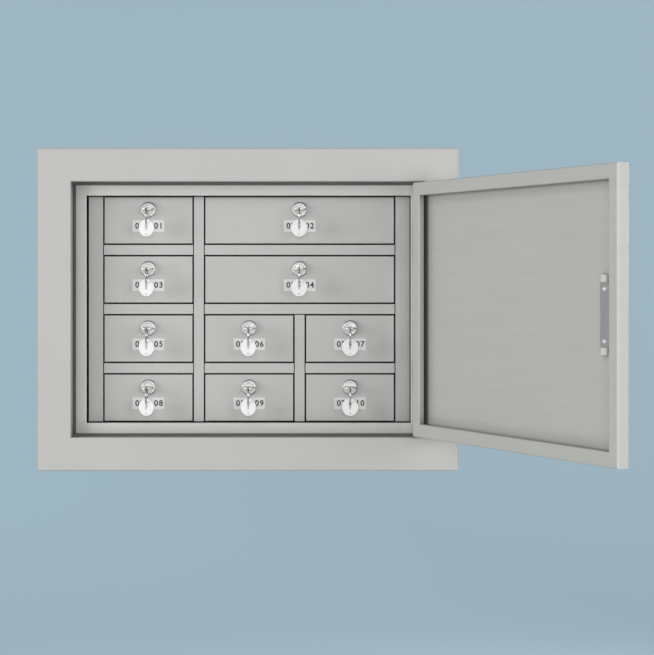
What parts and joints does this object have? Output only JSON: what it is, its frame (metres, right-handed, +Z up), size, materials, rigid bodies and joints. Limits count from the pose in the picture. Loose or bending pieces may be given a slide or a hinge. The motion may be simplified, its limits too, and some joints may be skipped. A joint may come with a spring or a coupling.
{
  "type": "phone locker box",
  "caption": "Recessed steel wall locker with a framed outer door over rows of small keyed doors, each closing a compartment for phones.",
  "frame": {"origin": "centre of the four bolt holes, on the outer face of the back", "axes": "+Z up; +X to the right as seen from the front; +Y into the wall, so the front faces -Y"},
  "size_m": [0.781, 0.6995, 0.468],
  "materials": {
    "powder_coat": "light grey semi-gloss powder coat on steel sheet",
    "zinc": "bright zinc-plated steel",
    "chrome": "polished chrome plate",
    "nickel": "nickel-plated key and zinc-alloy plug",
    "plate_steel": "satin steel plate",
    "white_nylon": "white nylon",
    "tag_white": "white enamelled disc",
    "split_ring": "nickel-plated spring steel wire",
    "label": "pale printed number label",
    "label_ink": "black ink",
    "dark_inside": "same coat inside, in shade"
  },
  "bodies": {
    "cabinet": {"casing": "powder_coat", "back_panel": "powder_coat", "trim_frame": "powder_coat", "stop_frame": "powder_coat", "grid_posts": "powder_coat", "grid_rails": "powder_coat", "shelves": "powder_coat", "partitions": "powder_coat", "side_liners": "powder_coat", "hinge_rods": "zinc", "frame_leaves": "zinc", "hinge_pins": "zinc"},
    "outer_door": {"outer_door": "powder_coat", "door_leaves": "zinc", "pull_handle": "chrome", "handle_plate": "plate_steel", "handle_screws": "chrome", "handle_pads": "white_nylon"},
    "small_door_01": {"door_01": "powder_coat", "lock_01": "chrome"},
    "key_set_01": {"key_01": "nickel"},
    "tag_set_01": {"key_tag_01": "tag_white"},
    "small_door_02": {"door_02": "powder_coat", "lock_02": "chrome"},
    "key_set_02": {"key_02": "nickel"},
    "tag_set_02": {"key_tag_02": "tag_white"},
    "small_door_03": {"door_03": "powder_coat", "lock_03": "chrome"},
    "key_set_03": {"key_03": "nickel"},
    "tag_set_03": {"key_tag_03": "tag_white"},
    "small_door_04": {"door_04": "powder_coat", "lock_04": "chrome"},
    "key_set_04": {"key_04": "nickel"},
    "tag_set_04": {"key_tag_04": "tag_white"},
    "small_door_05": {"door_05": "powder_coat", "lock_05": "chrome"},
    "key_set_05": {"key_05": "nickel"},
    "tag_set_05": {"key_tag_05": "tag_white"},
    "small_door_06": {"door_06": "powder_coat", "lock_06": "chrome"},
    "key_set_06": {"key_06": "nickel"},
    "tag_set_06": {"key_tag_06": "tag_white"},
    "small_door_07": {"door_07": "powder_coat", "lock_07": "chrome"},
    "key_set_07": {"key_07": "nickel"},
    "tag_set_07": {"key_tag_07": "tag_white"},
    "small_door_08": {"door_08": "powder_coat", "lock_08": "chrome"},
    "key_set_08": {"key_08": "nickel"},
    "tag_set_08": {"key_tag_08": "tag_white"},
    "small_door_09": {"door_09": "powder_coat", "lock_09": "chrome"},
    "key_set_09": {"key_09": "nickel"},
    "tag_set_09": {"key_tag_09": "tag_white"},
    "small_door_10": {"door_10": "powder_coat", "lock_10": "chrome"},
    "key_set_10": {"key_10": "nickel"},
    "tag_set_10": {"key_tag_10": "tag_white"}
  },
  "joints": [
    {"name": "outer_door_hinge", "type": "hinge", "parent": "cabinet", "child": "outer_door", "pos_m": [0.2555, -0.233, 0], "axis": [0, 0, 1], "range_deg": [-116, 50]},
    {"name": "door_01_hinge", "type": "hinge", "parent": "cabinet", "child": "small_door_01", "pos_m": [-0.2101, -0.1825, 0.13065], "axis": [0, 0, -1], "range_deg": [0, 95]},
    {"name": "key_01_turn", "type": "hinge", "parent": "small_door_01", "child": "key_set_01", "pos_m": [-0.1485, -0.1855, 0.14625], "axis": [0, -1, 0], "range_deg": [0, 90]},
    {"name": "tag_01_twist", "type": "hinge", "parent": "small_door_01", "child": "tag_set_01", "pos_m": [-0.148, -0.2085, 0.13425], "axis": [0, 0, -1], "range_deg": [0, 95]},
    {"name": "door_02_hinge", "type": "hinge", "parent": "cabinet", "child": "small_door_02", "pos_m": [-0.0616, -0.1825, 0.13065], "axis": [0, 0, -1], "range_deg": [0, 95]},
    {"name": "key_02_turn", "type": "hinge", "parent": "small_door_02", "child": "key_set_02", "pos_m": [0.07425, -0.1855, 0.14625], "axis": [0, -1, 0], "range_deg": [0, 90]},
    {"name": "tag_02_twist", "type": "hinge", "parent": "small_door_02", "child": "tag_set_02", "pos_m": [0.07475, -0.2085, 0.13425], "axis": [0, 0, -1], "range_deg": [0, 95]},
    {"name": "door_03_hinge", "type": "hinge", "parent": "cabinet", "child": "small_door_03", "pos_m": [-0.2101, -0.1825, 0.04355], "axis": [0, 0, -1], "range_deg": [0, 95]},
    {"name": "key_03_turn", "type": "hinge", "parent": "small_door_03", "child": "key_set_03", "pos_m": [-0.1485, -0.1855, 0.05915], "axis": [0, -1, 0], "range_deg": [0, 90]},
    {"name": "tag_03_twist", "type": "hinge", "parent": "small_door_03", "child": "tag_set_03", "pos_m": [-0.148, -0.2085, 0.04715], "axis": [0, 0, -1], "range_deg": [0, 95]},
    {"name": "door_04_hinge", "type": "hinge", "parent": "cabinet", "child": "small_door_04", "pos_m": [-0.0616, -0.1825, 0.04355], "axis": [0, 0, -1], "range_deg": [0, 95]},
    {"name": "key_04_turn", "type": "hinge", "parent": "small_door_04", "child": "key_set_04", "pos_m": [0.07425, -0.1855, 0.05915], "axis": [0, -1, 0], "range_deg": [0, 90]},
    {"name": "tag_04_twist", "type": "hinge", "parent": "small_door_04", "child": "tag_set_04", "pos_m": [0.07475, -0.2085, 0.04715], "axis": [0, 0, -1], "range_deg": [0, 95]},
    {"name": "door_05_hinge", "type": "hinge", "parent": "cabinet", "child": "small_door_05", "pos_m": [-0.2101, -0.1825, -0.04355], "axis": [0, 0, -1], "range_deg": [0, 95]},
    {"name": "key_05_turn", "type": "hinge", "parent": "small_door_05", "child": "key_set_05", "pos_m": [-0.1485, -0.1855, -0.02795], "axis": [0, -1, 0], "range_deg": [0, 90]},
    {"name": "tag_05_twist", "type": "hinge", "parent": "small_door_05", "child": "tag_set_05", "pos_m": [-0.148, -0.2085, -0.03995], "axis": [0, 0, -1], "range_deg": [0, 95]},
    {"name": "door_06_hinge", "type": "hinge", "parent": "cabinet", "child": "small_door_06", "pos_m": [-0.0616, -0.1825, -0.04355], "axis": [0, 0, -1], "range_deg": [0, 95]},
    {"name": "key_06_turn", "type": "hinge", "parent": "small_door_06", "child": "key_set_06", "pos_m": [0, -0.1855, -0.02795], "axis": [0, -1, 0], "range_deg": [0, 90]},
    {"name": "tag_06_twist", "type": "hinge", "parent": "small_door_06", "child": "tag_set_06", "pos_m": [0.0005, -0.2085, -0.03995], "axis": [0, 0, -1], "range_deg": [0, 95]},
    {"name": "door_07_hinge", "type": "hinge", "parent": "cabinet", "child": "small_door_07", "pos_m": [0.0869, -0.1825, -0.04355], "axis": [0, 0, -1], "range_deg": [0, 95]},
    {"name": "key_07_turn", "type": "hinge", "parent": "small_door_07", "child": "key_set_07", "pos_m": [0.1485, -0.1855, -0.02795], "axis": [0, -1, 0], "range_deg": [0, 90]},
    {"name": "tag_07_twist", "type": "hinge", "parent": "small_door_07", "child": "tag_set_07", "pos_m": [0.149, -0.2085, -0.03995], "axis": [0, 0, -1], "range_deg": [0, 95]},
    {"name": "door_08_hinge", "type": "hinge", "parent": "cabinet", "child": "small_door_08", "pos_m": [-0.2101, -0.1825, -0.13065], "axis": [0, 0, -1], "range_deg": [0, 95]},
    {"name": "key_08_turn", "type": "hinge", "parent": "small_door_08", "child": "key_set_08", "pos_m": [-0.1485, -0.1855, -0.11505], "axis": [0, -1, 0], "range_deg": [0, 90]},
    {"name": "tag_08_twist", "type": "hinge", "parent": "small_door_08", "child": "tag_set_08", "pos_m": [-0.148, -0.2085, -0.12705], "axis": [0, 0, -1], "range_deg": [0, 95]},
    {"name": "door_09_hinge", "type": "hinge", "parent": "cabinet", "child": "small_door_09", "pos_m": [-0.0616, -0.1825, -0.13065], "axis": [0, 0, -1], "range_deg": [0, 95]},
    {"name": "key_09_turn", "type": "hinge", "parent": "small_door_09", "child": "key_set_09", "pos_m": [0, -0.1855, -0.11505], "axis": [0, -1, 0], "range_deg": [0, 90]},
    {"name": "tag_09_twist", "type": "hinge", "parent": "small_door_09", "child": "tag_set_09", "pos_m": [0.0005, -0.2085, -0.12705], "axis": [0, 0, -1], "range_deg": [0, 95]},
    {"name": "door_10_hinge", "type": "hinge", "parent": "cabinet", "child": "small_door_10", "pos_m": [0.0869, -0.1825, -0.13065], "axis": [0, 0, -1], "range_deg": [0, 95]},
    {"name": "key_10_turn", "type": "hinge", "parent": "small_door_10", "child": "key_set_10", "pos_m": [0.1485, -0.1855, -0.11505], "axis": [0, -1, 0], "range_deg": [0, 90]},
    {"name": "tag_10_twist", "type": "hinge", "parent": "small_door_10", "child": "tag_set_10", "pos_m": [0.149, -0.2085, -0.12705], "axis": [0, 0, -1], "range_deg": [0, 95]}
  ],
  "couplings": [
    {"joint": "tag_01_twist", "follows": "key_01_turn", "ratio": 1},
    {"joint": "tag_02_twist", "follows": "key_02_turn", "ratio": 1},
    {"joint": "tag_03_twist", "follows": "key_03_turn", "ratio": 1},
    {"joint": "tag_04_twist", "follows": "key_04_turn", "ratio": 1},
    {"joint": "tag_05_twist", "follows": "key_05_turn", "ratio": 1},
    {"joint": "tag_06_twist", "follows": "key_06_turn", "ratio": 1},
    {"joint": "tag_07_twist", "follows": "key_07_turn", "ratio": 1},
    {"joint": "tag_08_twist", "follows": "key_08_turn", "ratio": 1},
    {"joint": "tag_09_twist", "follows": "key_09_turn", "ratio": 1},
    {"joint": "tag_10_twist", "follows": "key_10_turn", "ratio": 1}
  ]
}
